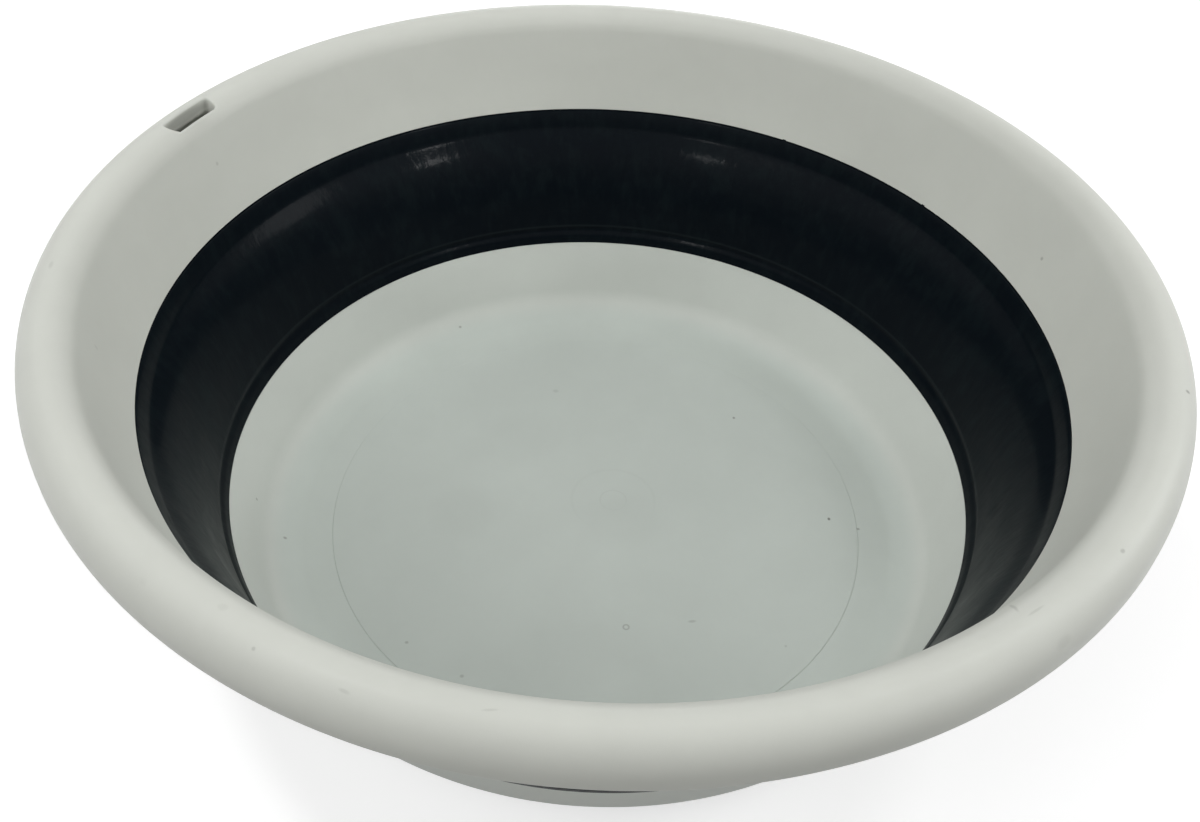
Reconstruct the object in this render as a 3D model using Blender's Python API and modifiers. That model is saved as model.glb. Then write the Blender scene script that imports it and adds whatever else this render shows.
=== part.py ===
"""Round collapsible wash basin, about 32 cm across and 11.5 cm high.

Two pale polypropylene mouldings, the upper ring and the base dish, are held together by a folding
band of black elastomer. The band's sloping panel turns inside out on two thin hinge lines, and the
ring then sinks round the base until the basin is nearly flat.

The basin stands on the plane z = 0 with its axis on Z. Every piece is an outline turned about Z.
An outline is a list of (radius, height) points that runs down its outer side.
"""

import math

import bmesh
import bpy
from mathutils import Matrix, Vector

MM = 0.001

# Whole basin
RIM_DIAMETER = 320 * MM
BASIN_HEIGHT = 115 * MM
WALL = 2.2 * MM
CLEARANCE = 0.3 * MM
EDGE_ROUND = 0.3 * MM
MERGE_DISTANCE = 0.01 * MM
TURN_STEPS = 72
SHARP_ANGLE = math.radians(32)

# Rolled rim: an arch that is open underneath
ROLL_WIDTH = 16 * MM
CREST_RISE = 10.3 * MM
SKIRT_DROP = 4.7 * MM

# Hanging slot, cut down through the rim at the back left
SLOT_LENGTH = 19.5 * MM
SLOT_WIDTH = 4.3 * MM
SLOT_CORNER = 1.4 * MM
SLOT_FROM_EDGE = 10.8 * MM
SLOT_BEARING = math.radians(157)

# Folding band, measured down its sloping inner face
BAND_TOP_RADIUS = 136.3 * MM
BAND_TOP_DEPTH = 33.6 * MM
BAND_BOTTOM_RADIUS = 118.9 * MM
BAND_HEIGHT = 50.2 * MM
LIP_THICKNESS = 2.5 * MM
LEAF_THICKNESS = 0.6 * MM
UPPER_LIP_LENGTH = 7.3 * MM
UPPER_TONGUE_LENGTH = 4.6 * MM
LOWER_LIP_LENGTH = 5.2 * MM
LOWER_LIP_STEP = 3 * MM
LOWER_TONGUE_LENGTH = 3.9 * MM
PANEL_THICKNESS = 2 * MM
PANEL_INSET = 0.2 * MM
HINGE_THICKNESS = 0.7 * MM
HINGE_LENGTH = 1.1 * MM
HINGE_TAPER = 0.7 * MM
HINGE_NOTCH = 0.4 * MM

# Base dish
COLLAR_HEIGHT = 8.1 * MM
COLLAR_WALL = 1.5 * MM
COLLAR_GROOVE = 0.5 * MM
FLOOR_THICKNESS = 2.2 * MM
FLOOR_FILLET = 14 * MM
DISC_RADIUS = 90 * MM
DISC_STEP = 0.3 * MM
FOOT_HEIGHT = 1.3 * MM
FOOT_WIDTH = 3 * MM
FOOT_SET_IN = 1.2 * MM
FOOT_ROUND = 0.4 * MM

# Places that follow from the sizes above
ROLL_HALF = ROLL_WIDTH / 2
ROLL_RADIUS = RIM_DIAMETER / 2 - ROLL_HALF
ROLL_LEVEL = BASIN_HEIGHT - CREST_RISE
BAND_TOP = Vector((BAND_TOP_RADIUS, BASIN_HEIGHT - BAND_TOP_DEPTH))
BAND_BOTTOM = BAND_TOP + Vector((BAND_BOTTOM_RADIUS - BAND_TOP_RADIUS, -BAND_HEIGHT))
BAND_LENGTH = (BAND_BOTTOM - BAND_TOP).length
DOWN_BAND = (BAND_BOTTOM - BAND_TOP).normalized()
OUT_OF_BAND = Vector((-DOWN_BAND.y, DOWN_BAND.x))
TONGUE_INNER = LEAF_THICKNESS + CLEARANCE
TONGUE_OUTER = LIP_THICKNESS - LEAF_THICKNESS - CLEARANCE
UPPER_FOLD = UPPER_LIP_LENGTH + CLEARANCE
LOWER_FOLD = BAND_LENGTH - LOWER_LIP_LENGTH - CLEARANCE
DISC_LEVEL = FOOT_HEIGHT + FLOOR_THICKNESS + DISC_STEP
FLOOR_LEVEL = FOOT_HEIGHT + FLOOR_THICKNESS


def on_band(down, out=0):
    """The point at a distance down the band's inner face and out through its thickness."""
    point = BAND_TOP + DOWN_BAND * down + OUT_OF_BAND * out
    return (point.x, point.y)


def arc(centre, radii, start, end, steps):
    """Points along an elliptical arc, with angles from the outward direction."""
    points = []
    for step in range(steps + 1):
        angle = start + (end - start) * step / steps
        radius = centre[0] + radii[0] * math.cos(angle)
        height = centre[1] + radii[1] * math.sin(angle)
        points.append((radius, height))
    return points


def collection_named(name):
    collection = bpy.data.collections.new(name)
    bpy.context.scene.collection.children.link(collection)
    return collection


def plastic(name, colour, roughness):
    material = bpy.data.materials.new(name)
    material.use_nodes = True
    shader = material.node_tree.nodes["Principled BSDF"]
    shader.inputs["Base Color"].default_value = (*colour, 1)
    shader.inputs["Roughness"].default_value = roughness
    shader.inputs["Metallic"].default_value = 0
    material.diffuse_color = (*colour, 1)
    return material


def carrier(name, height):
    """An empty on the axis, on which the pieces of one moving body hang."""
    empty = bpy.data.objects.new(name, None)
    empty.location = (0, 0, height)
    empty.empty_display_size = ROLL_WIDTH
    basin.objects.link(empty)
    return empty


def turned(name, outline, closed, material, parent):
    """Turn an outline about Z. One that is not closed starts and ends on the axis."""
    points = [(radius, 0, height - parent.location.z) for radius, height in outline]
    edges = [(index, index + 1) for index in range(len(points) - 1)]
    if closed:
        edges.append((len(points) - 1, 0))
    profile = bpy.data.meshes.new(name + "_outline")
    profile.from_pydata(points, edges, [])
    piece = bpy.data.objects.new(name, profile)
    basin.objects.link(piece)
    screw = piece.modifiers.new("Turn", "SCREW")
    screw.axis = "Z"
    screw.angle = math.tau
    screw.steps = TURN_STEPS
    screw.render_steps = TURN_STEPS
    screw.use_merge_vertices = True
    screw.merge_threshold = MERGE_DISTANCE

    # The turned mesh takes the outline's place, so that its corners can be marked sharp.
    evaluated = piece.evaluated_get(bpy.context.evaluated_depsgraph_get())
    solid = bpy.data.meshes.new_from_object(evaluated)
    solid.name = name
    piece.modifiers.clear()
    piece.data = solid
    bpy.data.meshes.remove(profile)
    solid.shade_smooth()
    solid.set_sharp_from_angle(angle=SHARP_ANGLE)
    solid.materials.append(material)
    piece.parent = parent
    return piece


def ring_outline():
    """Rolled rim, sloping wall, and the tongue that the band's upper lip holds."""
    outer = (ROLL_HALF, CREST_RISE)
    inner = (ROLL_HALF - WALL, CREST_RISE - WALL)
    centre = (ROLL_RADIUS, ROLL_LEVEL)

    # The wall runs straight from the band up to where it meets the roll at a tangent.
    foot_x = (BAND_TOP.x - ROLL_RADIUS) / ROLL_HALF
    foot_y = (BAND_TOP.y - ROLL_LEVEL) / CREST_RISE
    towards_foot = math.atan2(foot_y, foot_x) % math.tau
    meeting = towards_foot - math.acos(1 / math.hypot(foot_x, foot_y))

    skirt_edge = (ROLL_RADIUS + ROLL_HALF - WALL / 2, ROLL_LEVEL - SKIRT_DROP + WALL / 2)
    quarter = math.pi / 2
    points = arc(centre, outer, quarter, 0, 7)
    points += arc(skirt_edge, (WALL / 2, WALL / 2), 0, -math.pi, 4)
    points += arc(centre, inner, 0, meeting, 9)
    points += [
        on_band(-CLEARANCE, WALL),
        on_band(-CLEARANCE, TONGUE_OUTER),
        on_band(UPPER_TONGUE_LENGTH, TONGUE_OUTER),
        on_band(UPPER_TONGUE_LENGTH, TONGUE_INNER),
        on_band(-CLEARANCE, TONGUE_INNER),
        on_band(-CLEARANCE),
    ]
    points += arc(centre, outer, meeting, quarter, 6)[:-1]
    return points


def upper_lip_outline():
    """Band's upper lip: two leaves round the ring's tongue, bevelled at the fold's inner side."""
    groove_end = UPPER_TONGUE_LENGTH + CLEARANCE
    return [
        on_band(EDGE_ROUND, LIP_THICKNESS),
        on_band(UPPER_LIP_LENGTH - HINGE_TAPER, LIP_THICKNESS),
        on_band(UPPER_LIP_LENGTH, PANEL_INSET + PANEL_THICKNESS),
        on_band(UPPER_LIP_LENGTH, PANEL_INSET + PANEL_THICKNESS - HINGE_THICKNESS),
        on_band(UPPER_LIP_LENGTH - HINGE_TAPER, 0),
        on_band(0, 0),
        on_band(0, LEAF_THICKNESS),
        on_band(groove_end, LEAF_THICKNESS),
        on_band(groove_end, LIP_THICKNESS - LEAF_THICKNESS),
        on_band(0, LIP_THICKNESS - LEAF_THICKNESS),
        on_band(0, LIP_THICKNESS - EDGE_ROUND),
    ]


def panel_outline():
    """Band's folding panel, with the thin web of a hinge at each end.

    At the upper fold the inner faces close on each other, so the web lies flush with the outer
    face. At the lower fold it is the other way round.
    """
    inner = PANEL_INSET
    outer = PANEL_INSET + PANEL_THICKNESS
    top = UPPER_FOLD
    bottom = LOWER_FOLD
    low_web = inner + HINGE_NOTCH
    return [
        on_band(top, outer),
        on_band(bottom - HINGE_LENGTH - HINGE_TAPER, outer),
        on_band(bottom - HINGE_LENGTH, low_web + HINGE_THICKNESS),
        on_band(bottom, low_web + HINGE_THICKNESS),
        on_band(bottom, low_web),
        on_band(bottom - HINGE_LENGTH, low_web),
        on_band(bottom - HINGE_LENGTH - HINGE_NOTCH, inner),
        on_band(top + HINGE_LENGTH + HINGE_TAPER, inner),
        on_band(top + HINGE_LENGTH, outer - HINGE_THICKNESS),
        on_band(top, outer - HINGE_THICKNESS),
    ]


def lower_lip_outline():
    """Band's lower lip: its inner leaf reaches further down than its outer one."""
    top = BAND_LENGTH - LOWER_LIP_LENGTH
    step = BAND_LENGTH - LOWER_LIP_STEP
    groove_end = BAND_LENGTH - LOWER_TONGUE_LENGTH - CLEARANCE
    low_web = PANEL_INSET + HINGE_NOTCH
    return [
        on_band(top, low_web + HINGE_THICKNESS),
        on_band(top + HINGE_TAPER, LIP_THICKNESS),
        on_band(step, LIP_THICKNESS),
        on_band(step, LIP_THICKNESS - LEAF_THICKNESS),
        on_band(groove_end, LIP_THICKNESS - LEAF_THICKNESS),
        on_band(groove_end, LEAF_THICKNESS),
        on_band(BAND_LENGTH, LEAF_THICKNESS),
        on_band(BAND_LENGTH, 0),
        on_band(top + HINGE_NOTCH, 0),
        on_band(top, low_web),
    ]


def fillet_centre(out, level, radius):
    """Centre of the fillet between a face that runs along the band's slope and a flat one."""
    height = level + radius
    down = (height - BAND_TOP.y - OUT_OF_BAND.y * (out - radius)) / DOWN_BAND.y
    return (on_band(down, out - radius)[0], height)


def base_outline():
    """Tongue, collar, sloping wall, filleted floor with its raised disc, and foot ring."""
    slope = math.atan2(OUT_OF_BAND.y, OUT_OF_BAND.x)
    downward = -math.pi / 2
    tongue_tip = BAND_LENGTH - LOWER_TONGUE_LENGTH
    inner_seat = BAND_LENGTH + CLEARANCE
    outer_seat = BAND_LENGTH - LOWER_LIP_STEP + CLEARANCE

    collar_radius, collar_top = on_band(outer_seat, LIP_THICKNESS)
    collar_bottom = collar_top - COLLAR_HEIGHT
    collar_inside = collar_radius - COLLAR_WALL
    collar_edge = (collar_radius - COLLAR_WALL / 2, collar_bottom + COLLAR_WALL / 2)

    # The groove behind the collar ends where it has narrowed to COLLAR_GROOVE.
    groove_face = on_band(0, WALL)
    groove_down = (collar_inside - COLLAR_GROOVE - groove_face[0]) / DOWN_BAND.x
    groove_wall = on_band(groove_down, WALL)

    inner_fillet = fillet_centre(0, FLOOR_LEVEL, FLOOR_FILLET)
    outer_radius = FLOOR_FILLET + FLOOR_THICKNESS
    outer_fillet = fillet_centre(WALL, FOOT_HEIGHT, outer_radius)
    foot_outer = outer_fillet[0] - FOOT_SET_IN
    foot_inner = foot_outer - FOOT_WIDTH

    points = [
        (0, DISC_LEVEL),
        (DISC_RADIUS - DISC_STEP, DISC_LEVEL),
        (DISC_RADIUS, FLOOR_LEVEL),
    ]
    points += arc(inner_fillet, (FLOOR_FILLET, FLOOR_FILLET), downward, slope, 6)
    points += [
        on_band(inner_seat, 0),
        on_band(inner_seat, TONGUE_INNER),
        on_band(tongue_tip, TONGUE_INNER),
        on_band(tongue_tip, TONGUE_OUTER),
        on_band(outer_seat, TONGUE_OUTER),
        (collar_radius - EDGE_ROUND, collar_top),
        (collar_radius, collar_top - EDGE_ROUND),
    ]
    points += arc(collar_edge, (COLLAR_WALL / 2, COLLAR_WALL / 2), 0, -math.pi, 4)
    points += [
        (collar_inside, groove_wall[1]),
        groove_wall,
    ]
    points += arc(outer_fillet, (outer_radius, outer_radius), slope, downward, 6)
    points += [
        (foot_outer, FOOT_HEIGHT),
        (foot_outer, FOOT_ROUND),
        (foot_outer - FOOT_ROUND, 0),
        (foot_inner + FOOT_ROUND, 0),
        (foot_inner, FOOT_ROUND),
        (foot_inner, FOOT_HEIGHT),
        (0, FOOT_HEIGHT),
    ]
    return points


def slot_cutter():
    """A block with rounded corners that stands through the rim, its long side along the rim."""
    top = BASIN_HEIGHT + WALL
    bottom = ROLL_LEVEL
    radius = RIM_DIAMETER / 2 - SLOT_FROM_EDGE
    size = Vector((SLOT_WIDTH, SLOT_LENGTH, top - bottom))
    centre = Vector((radius, 0, (top + bottom) / 2))
    block = bmesh.new()
    placing = Matrix.Translation(centre) @ Matrix.Diagonal((*size, 1))
    bmesh.ops.create_cube(block, size=1, matrix=placing)
    uprights = [
        edge for edge in block.edges
        if abs(edge.verts[0].co.z - edge.verts[1].co.z) > MERGE_DISTANCE
    ]
    bmesh.ops.bevel(
        block, geom=uprights, offset=SLOT_CORNER, segments=4, profile=0.5, affect="EDGES"
    )
    mesh = bpy.data.meshes.new("slot_cutter")
    block.to_mesh(mesh)
    block.free()
    cutter = bpy.data.objects.new("slot_cutter", mesh)
    cutter.rotation_euler.z = SLOT_BEARING
    cutter.hide_render = True
    cutter.display_type = "WIRE"
    cutters.objects.link(cutter)
    return cutter


for old_object in list(bpy.data.objects):
    bpy.data.objects.remove(old_object)

basin = collection_named("collapsible_wash_basin")
cutters = collection_named("cutters")

# Base dish and the lower lip that is moulded onto it stand still.
stand = carrier("stand", 0)
dish_plastic = plastic("pale_polypropylene_base", (0.42, 0.45, 0.41), 0.4)
lip_rubber_below = plastic("black_elastomer_lower_lip", (0.006, 0.009, 0.011), 0.45)
turned("base_dish", base_outline(), False, dish_plastic, stand)
turned("band_lower_lip", lower_lip_outline(), True, lip_rubber_below, stand)

# The panel between the folds goes half as far as the ring.
fold = carrier("fold", on_band(LOWER_FOLD)[1])
panel_rubber = plastic("black_elastomer_panel", (0.006, 0.009, 0.011), 0.45)
turned("band_panel", panel_outline(), True, panel_rubber, fold)

# Upper ring and the upper lip that is moulded onto it slide straight down the axis.
slide = carrier("slide", on_band(UPPER_FOLD)[1])
ring_plastic = plastic("pale_polypropylene_ring", (0.58, 0.61, 0.57), 0.4)
lip_rubber_above = plastic("black_elastomer_upper_lip", (0.006, 0.009, 0.011), 0.45)
upper_ring = turned("upper_ring", ring_outline(), True, ring_plastic, slide)
turned("band_upper_lip", upper_lip_outline(), True, lip_rubber_above, slide)

slot = upper_ring.modifiers.new("Hanging slot", "BOOLEAN")
slot.operation = "DIFFERENCE"
slot.solver = "EXACT"
slot.object = slot_cutter()
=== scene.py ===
"""A round collapsible wash basin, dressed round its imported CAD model.

The real basin is three mouldings: a pale polypropylene base dish, a pale polypropylene upper ring
with a rolled rim, and a black elastomer band moulded onto both, which folds so that the ring sinks
round the dish. Each is a section that is drawn and then turned about the Z axis. Lengths are in
millimetres until they reach Blender.
"""

import math

import bpy
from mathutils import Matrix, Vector


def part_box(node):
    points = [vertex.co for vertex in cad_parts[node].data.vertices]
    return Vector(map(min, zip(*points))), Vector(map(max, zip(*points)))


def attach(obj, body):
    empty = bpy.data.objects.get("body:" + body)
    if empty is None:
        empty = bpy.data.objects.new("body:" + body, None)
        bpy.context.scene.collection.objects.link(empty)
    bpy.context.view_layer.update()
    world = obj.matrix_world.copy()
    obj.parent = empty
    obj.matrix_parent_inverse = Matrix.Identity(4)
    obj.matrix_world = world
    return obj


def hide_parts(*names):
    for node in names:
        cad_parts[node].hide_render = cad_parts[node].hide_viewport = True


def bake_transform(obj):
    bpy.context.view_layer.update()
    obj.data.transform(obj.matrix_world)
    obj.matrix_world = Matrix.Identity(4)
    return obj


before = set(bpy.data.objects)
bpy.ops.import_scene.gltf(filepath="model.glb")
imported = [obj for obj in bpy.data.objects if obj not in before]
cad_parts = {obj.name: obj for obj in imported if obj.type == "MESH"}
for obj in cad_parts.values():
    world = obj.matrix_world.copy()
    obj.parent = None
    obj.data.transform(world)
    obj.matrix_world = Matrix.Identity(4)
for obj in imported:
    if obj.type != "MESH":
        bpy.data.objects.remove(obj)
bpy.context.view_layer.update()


# The studio: a plain pale floor under a soft even dome, with ceiling lamps over either side of the
# basin and soft boxes round it. To the camera the floor is white paper and keeps the soft shadow,
# but it throws back less light than white paper would.

MM = 0.001
FLOOR_SIZE = 12000
FLOOR_TO_CAMERA = "#D0D0D0"
FLOOR_BOUNCE = "#757573"
FLOOR_GLOW = 0.55
FLOOR_PALES_FROM = 900
FLOOR_PALES_TO = 2600
DOME_AT_ZENITH = 0.335
DOME_AT_HORIZON = 0.27
DOME_EVEN_ABOVE = 0.75
LAMPS_POINT_AT = (0, 0, 80)
LAMPS = (
    # name, bearing and height in degrees, distance and width in mm, watts
    ("ceiling_lamp_right", 20, 56, 1500, 260, 2.9),
    ("ceiling_lamp_left", -170, 68, 1500, 160, 5.0),
    ("window_lamp_left", -115, 25, 1500, 160, 1.5),
    ("window_lamp_right", -36, 24, 1500, 160, 2.8),
    ("soft_box_front_left", -135, 45, 1300, 600, 3.5),
    ("soft_box_left", 180, 35, 1300, 600, 1.5),
    ("soft_box_right", 10, 25, 1300, 600, 4.8),
    ("soft_box_back", 90, 12, 1300, 600, 1.5),
)
CAMERA_PLACE = (0, -276.51, 314.9)
CAMERA_TURN = (46.2901, -2.5557, 2.6851)
CAMERA_LENS = 35.92
CAMERA_SENSOR = 36
CAMERA_SEES_FROM = 0.01
CAMERA_SEES_TO = 50


def linear(hex_colour):
    """An sRGB colour such as #D0D4CC as linear red, green, blue and alpha."""
    shares = [int(hex_colour[at:at + 2], 16) / 255 for at in (1, 3, 5)]
    return (*[
        share / 12.92 if share <= 0.04045 else ((share + 0.055) / 1.055) ** 2.4
        for share in shares
    ], 1)


def add_node(tree, kind, settings=None, inputs=None):
    """Add a node: settings are its own fields, inputs are values or other nodes' outputs."""
    added = tree.nodes.new(kind)
    for field, value in (settings or {}).items():
        setattr(added, field, value)
    for socket, value in (inputs or {}).items():
        if isinstance(value, bpy.types.NodeSocket):
            tree.links.new(value, added.inputs[socket])
        else:
            added.inputs[socket].default_value = value
    return added


def looking_rays(tree):
    """1 for the rays by which the camera, a gloss or a clear piece sees something, and 0 for light."""
    rays = add_node(tree, "ShaderNodeLightPath")
    sees = add_node(tree, "ShaderNodeMath", {"operation": "MAXIMUM"}, {
        0: rays.outputs["Is Camera Ray"], 1: rays.outputs["Is Glossy Ray"],
    })
    return add_node(tree, "ShaderNodeMath", {"operation": "MAXIMUM"}, {
        0: sees.outputs[0], 1: rays.outputs["Is Transmission Ray"],
    }).outputs[0]


scene = bpy.context.scene
scene.view_settings.view_transform = "Standard"

camera = bpy.data.objects.new("camera", bpy.data.cameras.new("camera"))
scene.collection.objects.link(camera)
camera.location = Vector(CAMERA_PLACE) * MM
camera.rotation_euler = [math.radians(turn) for turn in CAMERA_TURN]
camera.data.lens = CAMERA_LENS
camera.data.sensor_width = CAMERA_SENSOR
camera.data.clip_start = CAMERA_SEES_FROM
camera.data.clip_end = CAMERA_SEES_TO
scene.camera = camera

for name, bearing, height, distance, width, watts in LAMPS:
    lamp = bpy.data.objects.new(name, bpy.data.lights.new(name, "AREA"))
    scene.collection.objects.link(lamp)
    across, up = math.radians(bearing), math.radians(height)
    towards = Vector((math.cos(across) * math.cos(up), math.sin(across) * math.cos(up), math.sin(up)))
    lamp.location = (Vector(LAMPS_POINT_AT) + towards * distance) * MM
    lamp.rotation_euler = towards.to_track_quat("Z", "Y").to_euler()
    lamp.data.shape = "DISK"
    lamp.data.size = width * MM
    lamp.data.energy = watts
    lamp.visible_camera = False

# World: a dome whose brightness rises with height. The camera and gloss see plain white instead.
world = bpy.data.worlds.new("soft_studio_dome")
scene.world = world
world.use_nodes = True
tree = world.node_tree
tree.nodes.clear()
direction = add_node(tree, "ShaderNodeTexCoord")
height = add_node(tree, "ShaderNodeSeparateXYZ", inputs={0: direction.outputs["Generated"]})
strength = add_node(tree, "ShaderNodeMapRange", {"interpolation_type": "SMOOTHSTEP"}, {
    "Value": height.outputs["Z"], "From Min": 0, "From Max": DOME_EVEN_ABOVE,
    "To Min": DOME_AT_HORIZON, "To Max": DOME_AT_ZENITH,
})
dome = add_node(tree, "ShaderNodeBackground", inputs={
    "Color": (1, 1, 1, 1), "Strength": strength.outputs["Result"],
})
white = add_node(tree, "ShaderNodeBackground", inputs={"Color": (1, 1, 1, 1), "Strength": 1})
shows_white = looking_rays(tree)
seen = add_node(tree, "ShaderNodeMixShader", inputs={
    0: shows_white, 1: dome.outputs[0], 2: white.outputs[0],
})
add_node(tree, "ShaderNodeOutputWorld", inputs={"Surface": seen.outputs[0]})

# Floor: matt white paper, lifted a little for the camera so that it reaches white, and more far
# off, where the lamps no longer reach it.
bpy.ops.object.select_all(action="DESELECT")
bpy.ops.mesh.primitive_plane_add(size=FLOOR_SIZE * MM)
floor = bpy.context.object
floor.name = "floor"
paper = bpy.data.materials.new("matt_white_paper")
paper.use_nodes = True
tree = paper.node_tree
tree.nodes.clear()
to_camera = add_node(tree, "ShaderNodeBsdfDiffuse", inputs={"Color": linear(FLOOR_TO_CAMERA)})
place = add_node(tree, "ShaderNodeTexCoord").outputs["Object"]
away = add_node(tree, "ShaderNodeVectorMath", {"operation": "LENGTH"}, {0: place}).outputs["Value"]
glow = add_node(tree, "ShaderNodeMapRange", {"interpolation_type": "SMOOTHSTEP"}, {
    "Value": away, "From Min": FLOOR_PALES_FROM * MM, "From Max": FLOOR_PALES_TO * MM,
    "To Min": FLOOR_GLOW, "To Max": 1,
}).outputs["Result"]
glow = add_node(tree, "ShaderNodeEmission", inputs={"Color": (1, 1, 1, 1), "Strength": glow})
lifted = add_node(tree, "ShaderNodeAddShader", inputs={0: to_camera.outputs[0], 1: glow.outputs[0]})
bounce = add_node(tree, "ShaderNodeBsdfDiffuse", inputs={"Color": linear(FLOOR_BOUNCE)})
shows_white = looking_rays(tree)
seen = add_node(tree, "ShaderNodeMixShader", inputs={
    0: shows_white, 1: bounce.outputs[0], 2: lifted.outputs[0],
})
add_node(tree, "ShaderNodeOutputMaterial", inputs={"Surface": seen.outputs[0]})
floor.data.materials.append(paper)


# The base dish: one injection moulding in pale grey-green polypropylene. It has a flat floor with a
# slightly raised disc round the gate, a sloping wall, a collar that hides the band's lower bond from
# outside, and a foot ring underneath.

WALL = 2.2
BAND_TOP = Vector((136.3, 81.4))
BAND_BOTTOM = Vector((118.9, 31.2))
BAND_LENGTH = (BAND_BOTTOM - BAND_TOP).length
DOWN_BAND = (BAND_BOTTOM - BAND_TOP).normalized()
OUT_OF_BAND = Vector((-DOWN_BAND.y, DOWN_BAND.x))
LIP_THICKNESS = 2.5
DISH_STEPS = 480
EDGE_STEPS = 3
ROUND_STEPS = 8
FILLET_STEPS = 20
SHARP_ANGLE = math.radians(32)
MERGE_DISTANCE = 0.002

FLOOR_THICKNESS = 2.2
FLOOR_FILLET = 14
FLOOR_ROWS = (30, 60, 80)
UNDERSIDE_ROWS = (60, 30)
FLOOR_EDGE_ROW = 95
DISC_RADIUS = 90
DISC_STEP = 0.3
DISC_ROUND = (0.3, 0.15)
DISC_DRAFT = 0.1
FOOT_HEIGHT = 1.3
FOOT_WIDTH = 3
FOOT_SET_IN = 1.2
FOOT_ROUND = 0.4
FOOT_DRAFT = 0.2
GATE_DIMPLE = 6
GATE_DIMPLE_DRAFT = 0.4
GATE_DEPTH = 0.4
GATE_STUB = 1.6
GATE_STUB_DRAFT = 0.1
COLLAR_HEIGHT = 9.4
COLLAR_DRAFT = 0.8
COLLAR_WALL = 1.5
COLLAR_GROOVE = 0.5
COLLAR_EDGE = 0.3
DISH_WALL_ROW = 6
TONGUE_INNER = 0.9
TONGUE_OUTER = 1.6
LOWER_TONGUE_LENGTH = 3.9
LOWER_LIP_STEP = 1.6
SEAT_GAP = 0.05


def on_band(down, out=0):
    """The point at a distance down the band's inner face and out through its thickness."""
    point = BAND_TOP + DOWN_BAND * down + OUT_OF_BAND * out
    return (point.x, point.y)


def arc(centre, radii, start, end, steps):
    """Points along an elliptical arc, with angles in degrees from the outward direction."""
    points = []
    for step in range(steps + 1):
        angle = math.radians(start + (end - start) * step / steps)
        points.append((centre[0] + radii[0] * math.cos(angle), centre[1] + radii[1] * math.sin(angle)))
    return points


def turned_piece(name, outline, steps, bearing=0, closed=True):
    """Draw an outline by extruding one vertex from point to point, and turn it about Z."""
    bpy.ops.object.select_all(action="DESELECT")
    start = Vector((outline[0][0], 0, outline[0][1])) * MM
    bpy.ops.mesh.primitive_plane_add(size=MM, location=start)
    piece = bpy.context.object
    piece.name = name
    bpy.ops.object.mode_set(mode="EDIT")
    bpy.ops.mesh.select_mode(type="VERT")
    bpy.ops.mesh.merge(type="CENTER")
    last = start
    for radius, level in outline[1:] + (outline[:1] if closed else []):
        point = Vector((radius, 0, level)) * MM
        bpy.ops.mesh.extrude_vertices_move(TRANSFORM_OT_translate={"value": point - last})
        last = point
    bpy.ops.mesh.select_all(action="SELECT")
    bpy.ops.mesh.remove_doubles(threshold=MERGE_DISTANCE * MM)
    bpy.ops.object.mode_set(mode="OBJECT")
    # Applied twice: first the origin comes to the axis, then the outline is turned about it.
    bpy.ops.object.transform_apply(location=True, rotation=True, scale=True)
    piece.rotation_euler.z = math.radians(bearing)
    bpy.ops.object.transform_apply(location=True, rotation=True, scale=True)
    turn = piece.modifiers.new("Turn", "SCREW")
    turn.angle = math.tau
    turn.steps = turn.render_steps = steps
    turn.use_merge_vertices = True
    turn.merge_threshold = MERGE_DISTANCE * MM
    bpy.ops.object.modifier_apply(modifier=turn.name)
    bpy.ops.object.mode_set(mode="EDIT")
    bpy.ops.mesh.select_all(action="SELECT")
    bpy.ops.mesh.remove_doubles(threshold=MERGE_DISTANCE * MM)
    bpy.ops.mesh.normals_make_consistent(inside=False)
    bpy.ops.object.mode_set(mode="OBJECT")
    bpy.ops.object.shade_smooth_by_angle(angle=SHARP_ANGLE)
    return piece


def fillet_centre(out, level, radius):
    """Centre of the fillet between a face that runs along the band's slope and a flat one."""
    height = level + radius
    down = (height - BAND_TOP.y - OUT_OF_BAND.y * (out - radius)) / DOWN_BAND.y
    return (on_band(down, out - radius)[0], height)


slope = math.degrees(math.atan2(OUT_OF_BAND.y, OUT_OF_BAND.x))
floor_level = FOOT_HEIGHT + FLOOR_THICKNESS
disc_level = floor_level + DISC_STEP
collar_radius, collar_top = on_band(BAND_LENGTH - LOWER_LIP_STEP + SEAT_GAP, LIP_THICKNESS)
collar_bottom = collar_top - COLLAR_HEIGHT
collar_inside = collar_radius - COLLAR_WALL
groove_face = on_band(0, WALL)
groove_down = (collar_inside - COLLAR_GROOVE - groove_face[0]) / DOWN_BAND.x
groove_wall = on_band(groove_down, WALL)
inner_fillet = fillet_centre(0, floor_level, FLOOR_FILLET)
outer_radius = FLOOR_FILLET + FLOOR_THICKNESS
outer_fillet = fillet_centre(WALL, FOOT_HEIGHT, outer_radius)
foot_outer = outer_fillet[0] - FOOT_SET_IN
foot_inner = foot_outer - FOOT_WIDTH

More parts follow.
